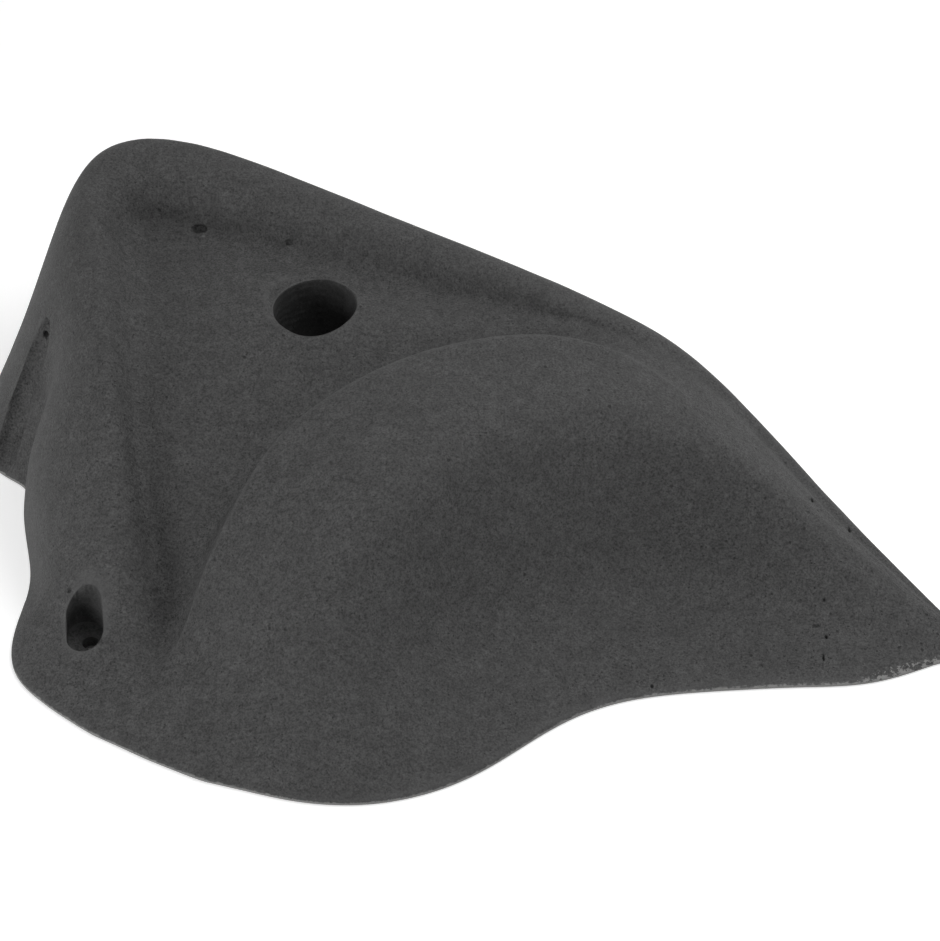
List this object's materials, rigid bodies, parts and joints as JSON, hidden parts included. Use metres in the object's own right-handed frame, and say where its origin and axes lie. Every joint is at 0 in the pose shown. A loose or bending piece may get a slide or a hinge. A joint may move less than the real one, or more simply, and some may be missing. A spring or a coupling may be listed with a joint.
{
  "type": "climbing hold",
  "caption": "Large asymmetric bolt-on climbing hold with a scooped front, a triangular recess behind a curved lip, a counterbored bolt hole and a set screw hole.",
  "frame": {"origin": "the bolt axis on the flat back face that meets the wall", "axes": "+Z out of the wall along the bolt axis, +X along the hold towards its long pointed end, +Y towards its high ridge"},
  "size_m": [0.2369, 0.1816, 0.0582],
  "materials": {
    "cast_resin": "cast resin, matt, with a fine sand texture",
    "washer_steel": "zinc-plated steel, dull"
  },
  "bodies": {
    "root": {"hold_body": "cast_resin", "bolt_washer": "washer_steel"}
  },
  "joints": []
}
